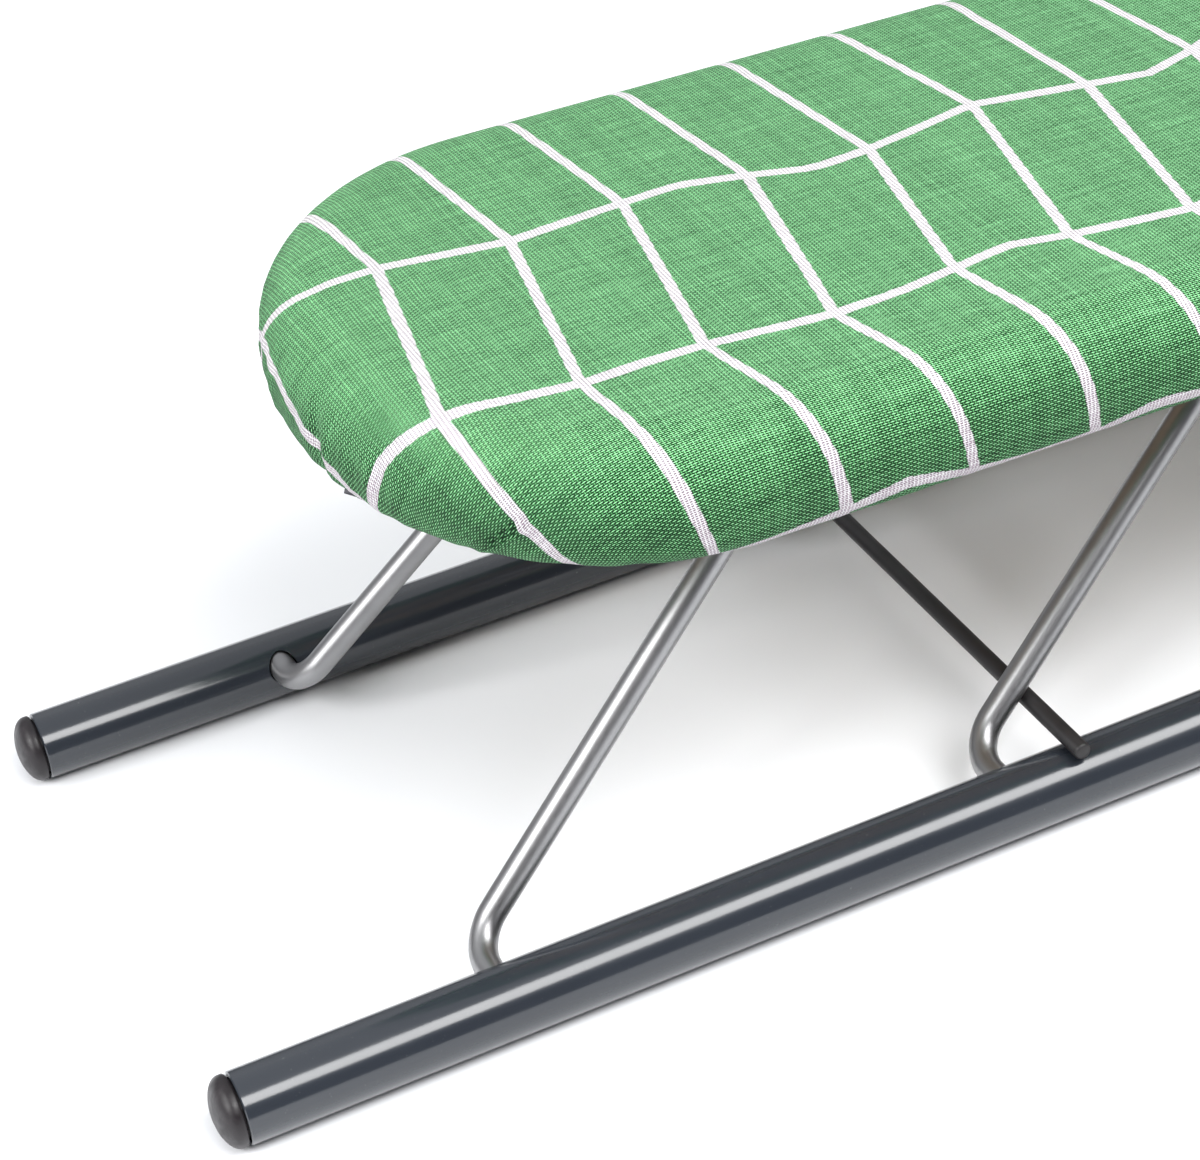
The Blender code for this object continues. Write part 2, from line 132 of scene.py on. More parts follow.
# Printed grid, in the cloth's own flat measure.
COLUMN_PITCH = 0.0224
ROW_PITCH = 0.0477
FIRST_COLUMN = -0.0515
FIRST_ROW = -0.0347
COLUMN_LINE = 0.0021
ROW_LINE = 0.0025

# Where the table of the drawing's shifts starts, and its size.
FIRST_DRAWN_COLUMN, FIRST_DRAWN_ROW = -8, -6
GRID_HALF_COLUMNS, GRID_ROWS = 88, 14

# From one thread to the next.
THREAD_ALONG = 0.00065
THREAD_ACROSS = 0.000375


# ---- small helpers ----


def new_object(name, data):
    obj = bpy.data.objects.new(name, data)
    bpy.context.scene.collection.objects.link(obj)
    return obj


def finished(obj, material, slot, body, *nodes):
    """Gives a piece its material and body, and lets it stand for CAD nodes. Its slot is not used.
    """
    obj.data.materials.clear()
    obj.data.materials.append(material)
    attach(obj, body)
    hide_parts(*nodes)


def baked(obj):
    """The object with its modifiers or curve turned into a plain mesh, under the same name."""
    name = obj.name
    graph = bpy.context.evaluated_depsgraph_get()
    mesh = bpy.data.meshes.new_from_object(obj.evaluated_get(graph))
    matrix = obj.matrix_world.copy()
    bpy.data.objects.remove(obj, do_unlink=True)
    result = new_object(name, mesh)
    result.matrix_world = matrix
    return result


def smooth(obj, degrees):
    """Smooth shading, with the edges that turn more than this many degrees kept sharp."""
    obj.data.shade_smooth()
    obj.data.set_sharp_from_angle(angle=radians(degrees))


def board_place(x, y, z):
    """A point of the board's frame, in the CAD's frame."""
    return (
        HINGE.x + x * cos(BOARD_SLOPE) + z * sin(BOARD_SLOPE),
        HINGE.y + y,
        HINGE.z + z * cos(BOARD_SLOPE) - x * sin(BOARD_SLOPE),
    )


# ---- shader nodes ----


class Nodes:
    """A material's node tree, with short ways to add nodes and arithmetic."""

    def __init__(self, name, roughness, metallic=0.0):
        self.material = bpy.data.materials.new(name)
        self.material.use_nodes = True
        self.tree = self.material.node_tree
        self.shader = self.tree.nodes["Principled BSDF"]
        self.set(Roughness=roughness, Metallic=metallic)

    def set(self, **inputs):
        for key, value in inputs.items():
            self.shader.inputs[key.replace("_", " ")].default_value = value

    def join(self, value, socket):
        if isinstance(value, bpy.types.NodeSocket):
            self.tree.links.new(value, socket)
        else:
            socket.default_value = value

    def add(self, kind, inputs=(), **settings):
        node = self.tree.nodes.new(kind)
        for key, value in settings.items():
            setattr(node, key, value)
        for key, value in dict(inputs).items():
            self.join(value, node.inputs[key])
        return node

    def math(self, operation, *values):
        node = self.add("ShaderNodeMath", operation=operation)
        for index, value in enumerate(values):
            self.join(value, node.inputs[index])
        return node.outputs[0]

    def uv(self, name):
        place = self.add("ShaderNodeUVMap", uv_map=name).outputs[0]
        split = self.add("ShaderNodeSeparateXYZ", {0: place})
        return split.outputs[0], split.outputs[1]

    def object_place(self, stretch=(1, 1, 1)):
        place = self.add("ShaderNodeTexCoord").outputs["Object"]
        return self.add("ShaderNodeMapping", {"Vector": place, "Scale": stretch}).outputs[0]

    def noise(self, vector, scale, detail=2.0, roughness=0.5):
        inputs = {"Vector": vector, "Scale": scale, "Detail": detail, "Roughness": roughness}
        return self.add("ShaderNodeTexNoise", inputs).outputs["Fac"]

    def map(self, value, low, high, to_low=0.0, to_high=1.0, kind="LINEAR"):
        inputs = {
            "Value": value, "From Min": low, "From Max": high, "To Min": to_low, "To Max": to_high,
        }
        return self.add("ShaderNodeMapRange", inputs, interpolation_type=kind).outputs["Result"]

    def ramp(self, value, stops):
        node = self.add("ShaderNodeValToRGB", {"Fac": value})
        elements = node.color_ramp.elements
        while len(elements) < len(stops):
            elements.new(0.5)
        for element, (position, colour) in zip(elements, stops):
            element.position = position
            element.color = (*colour, 1.0)
        return node.outputs["Color"]

    def mix(self, factor, first, second):
        """One colour into another. A colour mix takes its colours at inputs 6 and 7."""
        node = self.add("ShaderNodeMix", {0: factor}, data_type="RGBA")
        for index, value in ((6, first), (7, second)):
            linked = isinstance(value, bpy.types.NodeSocket)
            self.join(value if linked else (*value, 1.0), node.inputs[index])
        return node.outputs[2]

    def bump(self, height, distance, strength=1.0):
        inputs = {"Height": height, "Distance": distance, "Strength": strength}
        normal = self.add("ShaderNodeBump", inputs).outputs["Normal"]
        self.join(normal, self.shader.inputs["Normal"])

    def colour(self, value):
        self.join(value, self.shader.inputs["Base Color"])

    def rough(self, value):
        self.join(value, self.shader.inputs["Roughness"])


def thread(n, along, pitch, wobble):
    """Threads at this pitch: running count, thread number, place across it and arched height."""
    count = n.math("ADD", n.math("DIVIDE", along, pitch), wobble)
    part = n.math("FRACT", count)
    return count, n.math("FLOOR", count), part, n.math("SINE", n.math("MULTIPLY", part, pi))


def slub(n, number):
    """A value of each thread's own."""
    node = n.add("ShaderNodeTexWhiteNoise", {"W": number}, noise_dimensions="1D")
    return node.outputs["Value"]


def cloth_material():
    """Plain-weave cotton: light crossing threads over dark pores, with a printed white grid."""
    n = Nodes("green_cotton_cloth", 0.85)
    n.set(Specular_IOR_Level=0.12, Sheen_Weight=0.05, Sheen_Roughness=0.5)
    u, v = n.uv("cloth")
    place = n.add("ShaderNodeCombineXYZ", {0: u, 1: v}).outputs[0]

    # Height of the weave. Where the sum of the thread numbers is odd, the first thread lies over.
    wobble = n.map(n.noise(place, 60.0), 0.0, 1.0, -0.9, 0.9)
    count_a, number_a, part_a, arch_a = thread(n, u, THREAD_ALONG, wobble)
    count_b, number_b, part_b, arch_b = thread(n, v, THREAD_ACROSS, wobble)
    parity = n.math("FRACT", n.math("MULTIPLY", n.math("ADD", number_a, number_b), 0.5))
    over = n.map(parity, 0.0, 0.5, -1.0, 1.0)
    crossing = 0.24
    lift_a = n.math("MULTIPLY_ADD", n.math("MULTIPLY", over, arch_b), crossing, 0.61)
    lift_b = n.math("MULTIPLY_ADD", n.math("MULTIPLY", over, arch_a), -crossing, 0.85)
    thread_a = n.math("MULTIPLY", n.math("POWER", arch_a, 1.8), lift_a)
    thread_b = n.math("MULTIPLY", n.math("POWER", arch_b, 2.6), lift_b)
    twist = n.math("COSINE", n.math("MULTIPLY", n.math("SUBTRACT", count_a, count_b), pi))
    weave = n.math("MULTIPLY_ADD", twist, 0.085, n.math("MAXIMUM", thread_a, thread_b))

    # Lightness: the weave with uneven threads, streaks and flecks, less the painted shade down the
    # sides and in the crease.
    drawn_out = n.add("ShaderNodeMapping", {"Vector": place, "Scale": (1.0, 14.0, 1.0)})
    streak = n.noise(drawn_out.outputs[0], 110.0, 3.0, 0.6)
    fleck = n.noise(place, 900.0, 2.0, 0.6)
    light = n.math("MULTIPLY_ADD", n.math("ADD", slub(n, number_a), slub(n, number_b)), 0.06, -0.06)
    light = n.math("ADD", light, n.map(streak, 0.3, 0.7, -0.07, 0.07))
    light = n.math("ADD", light, n.map(fleck, 0.3, 0.7, -0.04, 0.04))
    # The stretch attribute is painted shade: darker down the cover's sides than on its top, and
    # darkest in the fold at the crease's foot.
    stretch = n.add("ShaderNodeAttribute", attribute_name="stretch").outputs["Fac"]
    shade = n.math("ADD", n.math("MULTIPLY_ADD", stretch, -0.19, weave), light)
    green = n.ramp(shade, [
        (0.27, (0.001, 0.008, 0.003)),
        (0.45, (0.014, 0.082, 0.024)),
        (0.655, (0.122, 0.412, 0.148)),
        (0.86, (0.44, 0.95, 0.49)),
    ])
    white = n.ramp(shade, [
        (0.15, (0.22, 0.15, 0.20)),
        (0.42, (0.60, 0.57, 0.60)),
        (0.64, (0.91, 0.91, 0.91)),
    ])

    # The print: lines on the whole numbers of its measure, with edges that follow the threads.
    column, row = n.uv("print")
    hand = n.map(n.noise(place, 170.0, 2.0), 0.25, 0.75, -0.00008, 0.00008)
    step_u = n.math("MULTIPLY", n.math("SUBTRACT", 0.5, part_a), 0.25 * THREAD_ALONG)
    step_v = n.math("MULTIPLY", n.math("SUBTRACT", 0.5, part_b), 0.45 * THREAD_ACROSS)
    half_width = n.map(n.noise(place, 45.0), 0.3, 0.7, 0.46, 0.53)
    lines = []
    for value, pitch, step, line in (
        (column, COLUMN_PITCH, step_u, COLUMN_LINE),
        (row, ROW_PITCH, step_v, ROW_LINE),
    ):
        from_line = n.math("SUBTRACT", value, n.math("ROUND", value))
        away = n.math("MULTIPLY_ADD", from_line, pitch, n.math("ADD", hand, step))
        away = n.math("MULTIPLY_ADD", half_width, -line, n.math("ABSOLUTE", away))
        away = n.math("MULTIPLY_ADD", weave, -0.0001, away)
        lines.append(n.map(away, -0.0002, 0.0, 1.0, 0.0, kind="SMOOTHSTEP"))
    n.colour(n.mix(n.math("MAXIMUM", *lines), green, white))
    n.bump(weave, 0.0002, 0.8)
    return n.material


def paint_material():
    """Glossy dark grey stoved paint with a faint orange-peel and a few specks."""
    n = Nodes("grey_gloss_paint", 0.2)
    n.set(Coat_Weight=0.55, Coat_Roughness=0.15)
    place = n.object_place()
    cloud = n.noise(place, 35.0, 4.0)
    speck = n.map(n.noise(place, 1400.0, 2.0), 0.70, 0.80)
    tone = n.mix(cloud, (0.021, 0.025, 0.033), (0.029, 0.034, 0.043))
    n.colour(n.mix(speck, tone, (0.06, 0.065, 0.07)))
    n.rough(n.map(n.noise(place, 90.0, 5.0), 0.3, 0.7, 0.15, 0.21))
    n.bump(n.noise(place, 480.0, 2.0), 0.00003, 0.35)
    return n.material


def bar_material():
    """The thin crossbars' paint, nearly black and only satin."""
    n = Nodes("black_satin_paint", 0.42)
    place = n.object_place()
    n.colour(n.mix(n.noise(place, 60.0, 4.0), (0.010, 0.009, 0.010), (0.020, 0.018, 0.019)))
    n.rough(n.map(n.noise(place, 160.0, 5.0), 0.3, 0.7, 0.36, 0.50))
    n.bump(n.noise(place, 900.0, 2.0), 0.00003, 0.4)
    return n.material


def steel_material(name, tint, rough):
    """Zinc plating: a satin grey with fine drawing marks and faint clouding."""
    n = Nodes(name, 0.3, metallic=1.0)
    place = n.object_place()
    cloud = n.noise(place, 90.0, 4.0, 0.5)
    marks = n.noise(place, 2200.0, 3.0, 0.6)
    dark = tuple(channel * 0.86 for channel in tint)
    n.colour(n.mix(n.map(cloud, 0.3, 0.75), tint, dark))
    n.rough(n.map(marks, 0.3, 0.7, *rough))
    n.bump(marks, 0.00001, 0.25)
    return n.material


def plastic_material():
    """Moulded soft black plastic with a fine spark texture and scuffed high spots."""
    n = Nodes("black_moulded_plastic", 0.45)
    place = n.object_place()
    scuff = n.map(n.noise(place, 260.0, 5.0, 0.65), 0.52, 0.72)
    n.colour(n.mix(scuff, (0.012, 0.009, 0.011), (0.034, 0.028, 0.032)))
    n.rough(n.map(n.noise(place, 700.0, 3.0), 0.3, 0.7, 0.34, 0.52))
    n.bump(n.noise(place, 2600.0, 2.0), 0.00004, 0.5)
    return n.material


def chipboard_material():
    """Pressed wood chips: small flakes of mixed tans with dark grains between them."""
    n = Nodes("chipboard_flakes", 0.8)
    place = n.object_place((1.0, 1.6, 2.5))
    push = n.add("ShaderNodeTexNoise", {"Vector": place, "Scale": 180.0}).outputs["Color"]
    bent = n.add("ShaderNodeMix", {0: 0.004, 4: place, 5: push}, data_type="VECTOR").outputs[1]
    flake = n.add("ShaderNodeTexVoronoi", {"Vector": bent, "Scale": 330.0})
    pick = n.add("ShaderNodeSeparateColor", {0: flake.outputs["Color"]}).outputs[0]
    tans = n.ramp(pick, [
        (0.0, (0.16, 0.12, 0.08)),
        (0.35, (0.31, 0.25, 0.18)),
        (0.7, (0.42, 0.35, 0.27)),
        (1.0, (0.54, 0.47, 0.38)),
    ])
    n.colour(n.mix(n.map(flake.outputs["Distance"], 0.0, 0.9), tans, (0.30, 0.19, 0.10)))
    n.bump(flake.outputs["Distance"], 0.0002, 0.4)
    return n.material


def foam_material():
    """Pale open-cell foam with small dark cells."""
    n = Nodes("open_cell_foam", 0.95)
    place = n.object_place()
    cells = n.add("ShaderNodeTexVoronoi", {"Vector": place, "Scale": 1100.0}).outputs["Distance"]
    n.colour(n.mix(n.map(cells, 0.0, 0.8), (0.58, 0.55, 0.44), (0.86, 0.84, 0.74)))
    n.bump(cells, 0.0004, 0.8)
    return n.material


def elastic_material():
    """Braided elastic: fine slanting strands round a dark grey cord."""
    n = Nodes("braided_elastic", 0.8)
    place = n.object_place()
    inputs = {"Vector": place, "Scale": 420.0, "Distortion": 1.5}
    strand = n.add("ShaderNodeTexWave", inputs, bands_direction="DIAGONAL").outputs["Fac"]
    n.colour(n.mix(strand, (0.035, 0.034, 0.040), (0.13, 0.125, 0.14)))
    n.bump(strand, 0.0002, 0.7)
    return n.material


# ---- base ----


def turned(name, profile, sides, closed=False):
    """(radius, along) points turned about the X axis, with the ends of a closed profile joined."""
    angles = [2 * pi * step / sides for step in range(sides)]
    bm = bmesh.new()
    rings = []
    for radius, along in profile:
        if radius < 1e-7:
            rings.append([bm.verts.new((along, 0.0, 0.0))] * sides)
        else:
            rings.append([bm.verts.new((along, radius * cos(a), radius * sin(a))) for a in angles])
    following = rings[1:] + rings[:1] if closed else rings[1:]
    for first, second in zip(rings, following):
        for index in range(sides):
            after = (index + 1) % sides
            corners = [first[index], first[after], second[after], second[index]]
            bm.faces.new(list(dict.fromkeys(corners)))
    bmesh.ops.recalc_face_normals(bm, faces=bm.faces)
    mesh = bpy.data.meshes.new(name)
    bm.to_mesh(mesh)
    bm.free()
    return mesh


def make_tube(name, y, material):
    """A tube with dressed ends, and holes in its inner wall for the two legs' ends."""
    edge = 0.0002
    profile = [
        (TUBE_RADIUS - edge, TUBE_FRONT_X), (TUBE_RADIUS, TUBE_FRONT_X + edge),
        (TUBE_RADIUS, TUBE_REAR_X - edge), (TUBE_RADIUS - edge, TUBE_REAR_X),
        (BORE_RADIUS + edge, TUBE_REAR_X), (BORE_RADIUS, TUBE_REAR_X - edge),
        (BORE_RADIUS, TUBE_FRONT_X + edge), (BORE_RADIUS + edge, TUBE_FRONT_X),
    ]
    tube = new_object(f"{name}_painted", turned(name, profile, 96, closed=True))
    tube.location = (0.0, y, TUBE_RADIUS)
    inward = -1 if y > 0 else 1
    reach = TUBE_RADIUS - TUBE_WALL / 2
    drill = [(0.0, -reach), (PIVOT_HOLE_RADIUS, -reach), (PIVOT_HOLE_RADIUS, reach), (0.0, reach)]
    holes = []
    for pivot in (FRONT_PIVOT, REAR_PIVOT):
        hole = new_object("hole", turned("hole", drill, 32))
        hole.rotation_euler = (0.0, 0.0, pi / 2)
        hole.location = (pivot.x, y + inward * TUBE_RADIUS, pivot.z)
        cut = tube.modifiers.new("Cut", "BOOLEAN")
        cut.operation = "DIFFERENCE"
        cut.solver = "EXACT"
        cut.object = hole
        holes.append(hole)
    tube = baked(tube)
    for hole in holes:
        bpy.data.objects.remove(hole, do_unlink=True)
    smooth(tube, 35)
    finished(tube, material, "grey_paint", "base", name)


def make_plug(name, x, y, outward, material):
    """A domed plug with a soft rim edge and a stub inside the tube."""
    rim = GAP + PLUG_RIM
    edge = 0.0003
    stub = BORE_RADIUS - GAP
    profile = [(0.0, rim + PLUG_DOME)]
    for step in range(1, 13):
        angle = step / 12 * pi / 2
        profile.append((PLUG_RADIUS * sin(angle), rim + PLUG_DOME * cos(angle)))
    profile += [(PLUG_RADIUS, GAP + edge), (PLUG_RADIUS - edge, GAP)]
    profile += [(stub, GAP), (stub, -PLUG_STUB), (0.0, -PLUG_STUB)]
    profile = [(radius, outward * along) for radius, along in profile]
    plug = new_object(f"{name}_moulded", turned(name, profile, 64))
    plug.location = (x, y, TUBE_RADIUS)
    smooth(plug, 50)
    finished(plug, material, "black_plastic", "base", name)


def make_crossbar(name, material):
    """The painted rod, with its cut ends dressed to a small round."""
    low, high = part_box(name)
    radius = (high.z - low.z) / 2
    half = (high.y - low.y) / 2
    edge = 0.0005
    profile = [
        (0.0, -half), (radius - edge, -half),
        (radius - edge * 0.3, -half + edge * 0.3), (radius, -half + edge),
    ]
    profile += [(r, -along) for r, along in reversed(profile)]
    bar = new_object(f"{name}_painted", turned(name, profile, 40))
    bar.rotation_euler = (0.0, 0.0, pi / 2)
    bar.location = (low + high) / 2
    smooth(bar, 50)
    finished(bar, material, "grey_paint", "base", name)


# ---- wire legs ----


def rounded_path(corners, radius, steps):
    """The corner points joined by straight runs, with each inner corner turned as an arc."""
    path = [corners[0]]
    for before, corner, after in zip(corners, corners[1:], corners[2:]):
        entering = (corner - before).normalized()
        leaving = (after - corner).normalized()
        half_turn = entering.angle(leaving) / 2
        start = corner - entering * radius * tan(half_turn)
        centre = corner + (leaving - entering).normalized() * radius / cos(half_turn)
        spoke = start - centre
        for step in range(steps + 1):
            turn = 2 * half_turn * step / steps
            path.append(centre + spoke * cos(turn) + entering * radius * sin(turn))
    path.append(corners[-1])
    return path


def swept(name, points, radius, resolution, cyclic=False):
    """A round bar along the points, as a mesh."""
    curve = bpy.data.curves.new(name, "CURVE")
    curve.dimensions = "3D"
    curve.bevel_depth = radius
    curve.bevel_resolution = resolution
    curve.use_fill_caps = not cyclic
    spline = curve.splines.new("POLY")
    spline.points.add(len(points) - 1)
    spline.use_cyclic_u = cyclic
    for point, place in zip(spline.points, points):
        point.co = (*place, 1.0)
    return baked(new_object(name, curve))


def make_leg(name, pivot, material):
    """A wire bent to a U, with ends turned out into the tubes, standing at its lean."""
    end_y = FAR_Y - LEG_END_INBOARD
    low_y = FAR_Y - LEG_CORNER_INBOARD
    high_y = low_y - LEG_LENGTH * tan(LEG_TAPER)
    half = [(end_y, 0.0), (low_y, 0.0), (high_y, LEG_LENGTH)]
    corners = [Vector((0.0, y, z)) for y, z in half]
    corners += [Vector((0.0, -y, z)) for y, z in reversed(half)]
    lean = Matrix.Rotation(LEG_LEAN, 3, "Y")
    points = [pivot + lean @ point for point in rounded_path(corners, LEG_BEND_RADIUS, 14)]
    leg = swept(f"{name}_wire", points, WIRE_RADIUS, 8)
    smooth(leg, 50)
    finished(leg, material, "zinc_steel", name, name)


# ---- board ----

NOSE_STEPS, SIDE_STEPS, TAIL_STEPS = 320, 130, 90
AROUND = NOSE_STEPS + TAIL_STEPS + 2 * SIDE_STEPS
TOP_RINGS, ROUND_RINGS = 16, 12


def perimeter(inset):
    """Points round the plan, moved in by inset, as an array of (x, y).

    It starts where the nose leaves the far side.
    """

    def end(centre, length, power, steps, turn_from):
        turn = turn_from + np.linspace(0, pi, steps + 1)
        along, across = np.cos(turn), np.sin(turn)
        x = centre + (length - inset) * np.sign(along) * np.abs(along) ** (2 / power)
        y = (BOARD_HALF_WIDTH - inset) * np.sign(across) * np.abs(across) ** (2 / power)
        return np.column_stack([x, y])

    runs = np.linspace(NOSE_X, TAIL_X, SIDE_STEPS + 1)[1:-1]
    half = np.full(len(runs), BOARD_HALF_WIDTH - inset)
    return np.concatenate([
        end(NOSE_X, NOSE_LENGTH, NOSE_POWER, NOSE_STEPS, pi / 2),
        np.column_stack([runs, -half]),
        end(TAIL_X, TAIL_LENGTH, TAIL_POWER, TAIL_STEPS, -pi / 2),
        np.column_stack([runs[::-1], half]),
    ])


def gathers(seed, wavelength, count=5):
    """A smooth uneven wave round the plan, from about -1 to 1, strongest where the plan turns."""
    dice = random.Random(seed)
    loop = perimeter(0.0)
    steps = np.linalg.norm(np.roll(loop, -1, 0) - loop, axis=1)
    along = np.concatenate([[0.0], np.cumsum(steps)[:-1]]) / steps.sum() * 2 * pi
    waves = round(float(steps.sum()) / wavelength)
    wave = 0.0
    for _ in range(count):
        times = round(waves * dice.uniform(0.6, 1.5))
        wave = wave + np.sin(times * along + dice.uniform(0, 2 * pi))
    x = loop[:, 0]
    past_nose = np.clip((x - NOSE_X - 0.004) / 0.03, 0, 1)
    before_tail = np.clip((TAIL_X - x - 0.004) / 0.03, 0, 1)
    return wave / count ** 0.5 * (1.0 - 0.62 * (past_nose * before_tail))


def crease(down):
    """The crease in the nose's side, on a ring this far below the top.

    Each point's place across it, in half widths, and how strong it is on this ring. It leans
    towards the tail as it rises.
    """
    loop = perimeter(0.0)
    x, y, _, half_width = SIDE_CREASE
    along = np.concatenate([[0.0], np.cumsum(np.linalg.norm(np.diff(loop, axis=0), axis=1))])
    start = along[np.argmin(((loop - (x, y)) ** 2).sum(1))]
    away = (along - start - CREASE_LEAN * (COVER_TOP - COVER_BOTTOM - down)) / half_width
    return away, np.interp(down, CREASE_DEPTHS, CREASE_STRENGTHS)


def puckers(down):
    """How far the elastic pulls the nose's side inward.

    The crease's tail side bulges out over its other side.
    """
    x, y, depth, half_width = TIP_PUCKER
    near = ((perimeter(0.0) - (x, y)) ** 2).sum(1) / half_width ** 2
    dent = depth * (1 - 1.2 * near) * np.exp(-near)
    away, strength = crease(down)
    bulge = SIDE_CREASE[2] * strength * away * np.exp(0.5 - away ** 2 / 2)
    return dent - np.where(away > 0, bulge, 0.4 * bulge)


def painted_crease_shade(down):
    """Painted shade in the fold at the foot of the crease, from 0 to about 1."""
    away, strength = crease(down)
    return strength * np.exp(-((away + 0.4) / 0.75) ** 2)


def flat_top():
    """The edge of the board's flat top, and the line down its middle that its rings grow from."""
    edge = perimeter(ROUND_ACROSS)
    middle = np.column_stack([np.clip(edge[:, 0], NOSE_X, TAIL_X), np.zeros(len(edge))])
    return edge, middle


def at_height(points, z):
    return np.column_stack([points, np.broadcast_to(z, len(points))])


def cover_section():
    """The cover's profile from the flat top's edge to the hem's roll, as (inset, height, slack)."""
    section = []
    for step in range(1, ROUND_RINGS + 1):
        angle = step / ROUND_RINGS * pi / 2
        inset = ROUND_ACROSS * (1 - sin(angle))
        section.append((inset, COVER_TOP - ROUND_DOWN * (1 - cos(angle)), 0.0))
    high, low = COVER_TOP - ROUND_DOWN, COVER_BOTTOM + BOTTOM_ROUND
    for share in (0.33, 0.66, 1.0):
        inset = -SIDE_BULGE * sin(pi * share)
        section.append((inset, high + (low - high) * share, 0.10 * share))
    for step in range(1, 7):
        angle = step / 6 * pi / 2
        inset = BOTTOM_ROUND * (1 - cos(angle))
        section.append((inset, low - BOTTOM_ROUND * sin(angle), 0.10 + 0.4 * step / 6))
    hem_end = HEM_WIDTH - 0.0006
    for share in (0.2, 0.4, 0.6, 0.8, 1.0):
        inset = BOTTOM_ROUND + (hem_end - BOTTOM_ROUND) * share
        section.append((inset, COVER_BOTTOM, 0.5 + 0.5 * share))
    roll = ELASTIC_RADIUS + 0.00035
    for step in range(8):
        angle = radians(160 + 34 * step)
        sag = 1.0 if sin(angle) > 0 else 1.15
        inset = ELASTIC_INSET + roll * cos(angle)
        section.append((inset, ELASTIC_Z + roll * sin(angle) * sag, 1.0))
    return section


def cover_rings():
    """Rings of the cover from the middle of the top to the hem's roll, and the cloth's drop.

    Each ring has its points, the same points on the flat cloth, and the painted shade of the crease
    there.
    The drop is the cloth's length from the flat top's edge to its own edge.
    """
    edge, middle = flat_top()
    rim = perimeter(0.0)
    outward = rim - edge
    outward /= np.linalg.norm(outward, axis=1)[:, None]
    ripple = gathers(seed=3, wavelength=0.0105)
    sag = gathers(seed=8, wavelength=0.0085) * 0.5 + 0.5
    near_tip = np.clip((TIP_X + 0.013 - rim[:, 0]) / 0.008, 0, 1)
    tip_folds = gathers(seed=12, wavelength=0.0075) * near_tip * TIP_FOLD
    rings = []
    for share in np.linspace(1, 0.02, TOP_RINGS)[::-1]:
        points = middle + (edge - middle) * share
        z = COVER_TOP + TOP_CROWN * (1 - share ** 2)
        rings.append((at_height(points, z), points, np.zeros(len(points))))

    drop, before = 0.0, (ROUND_ACROSS, COVER_TOP)
    for inset, z, slack in cover_section():
        drop += ((inset - before[0]) ** 2 + (z - before[1]) ** 2) ** 0.5
        before = (inset, z)
        down = COVER_TOP - z
        fold = (puckers(down) - tip_folds) * np.interp(down, FOLD_DEPTHS, FOLD_STRENGTHS)
        move = ripple * slack ** 2 * HEM_RIPPLE - fold
        hang = sag * slack ** 2 * HEM_DROP if slack > 0.3 else 0.0
        points = at_height(perimeter(inset) + outward * move[:, None], z - hang)
        rings.append((points, edge + outward * drop, painted_crease_shade(down)))
    return rings, drop


def grid_shift():
    """How far the hand-drawn grid sits from an even one, on half columns and whole rows.

    The numbers are millimetres: a row's sway along the board, its lean at each column, and how far
    it rises across the board at each half column. The drawing repeats every nine columns.
    """
    sway = {-1: -2.0, 0: -9.8, 1: 0.0, 2: -4.5}
    lean = {
        -1: (-6.0, -5.0, -2.0, 0.7, 1.1, 1.0, 1.3, 0.0, 0.5),
        0: (-2.7, 0.7, 0.5, -0.3, -0.8, 0.3, -0.7, -1.5, 0.4),
        1: (-1.5, -0.2, 0.1, -0.5, -0.3, -0.5, 0.9, -0.6, 0.6),
        2: (0.0, 0.8, 0.5, 0.0, 0.0, -0.5, -0.9, 2.0, 0.5),
    }
    rise = {
        -1: (
            0.0, 0.0, 0.0, 1.0, 2.0, 3.0, 4.6, 6.8, 4.0,
            2.4, 3.0, 6.0, 4.6, 5.0, 2.6, 4.5, 2.0, 1.5,
        ),
        0: (
            5.7, 5.8, 3.6, 1.2, -0.6, -0.2, -0.5, -1.8, -2.9,
            -2.2, -0.4, 1.5, -1.1, -2.8, -4.2, -2.0, 0.0, 2.0,
        ),
        1: (
            8.0, 3.9, 4.4, 2.4, 0.4, 1.4, 2.4, 3.0, -0.4,
            -4.6, -3.7, -1.2, 1.5, -0.8, -3.0, -5.6, -1.7, 3.0,
        ),
    }
    dice = random.Random(41)
    shift = np.zeros((GRID_HALF_COLUMNS, GRID_ROWS, 2))
    for i in range(GRID_HALF_COLUMNS):
        for j in range(GRID_ROWS):
            half, row = i + 2 * FIRST_DRAWN_COLUMN, j + FIRST_DRAWN_ROW
            across = dice.uniform(-1.5, 1.5)
            along = dice.uniform(-0.9, 0.9)
            if row in lean:
                column, share = divmod(max(half, 0) / 2 % 9, 1)
                here, after = lean[row][int(column)], lean[row][(int(column) + 1) % 9]
                along = here + (after - here) * share
            if row in rise:
                across = rise[row][max(half, 0) % 18] - min(half, 0) * (1.5 if row == 1 else 0.0)
            shift[i, j] = (sway.get(row, -7.5 if row % 2 == 0 else -1.5) + along, across)
    return shift * 0.001


def print_measure(flat):
    """Where flat-cloth points fall on the hand-drawn grid: whole numbers are its lines."""
    shift = grid_shift()
    column = (flat[:, 0] - FIRST_COLUMN) / COLUMN_PITCH + 1
    even = np.column_stack([column, (flat[:, 1] - FIRST_ROW) / ROW_PITCH])
    found = even.copy()
    for _ in range(8):
        halves = (found[:, 0] - FIRST_DRAWN_COLUMN) * 2
        rows = found[:, 1] - FIRST_DRAWN_ROW
        i = np.clip(np.floor(halves).astype(int), 0, GRID_HALF_COLUMNS - 2)
        j = np.clip(np.floor(rows).astype(int), 0, GRID_ROWS - 2)
        a, b = (halves - i)[:, None], (rows - j)[:, None]
        moved = (shift[i, j] * (1 - a) + shift[i + 1, j] * a) * (1 - b)
        moved += (shift[i, j + 1] * (1 - a) + shift[i + 1, j + 1] * a) * b
        found = even - moved / np.array([COLUMN_PITCH, ROW_PITCH])
    return found


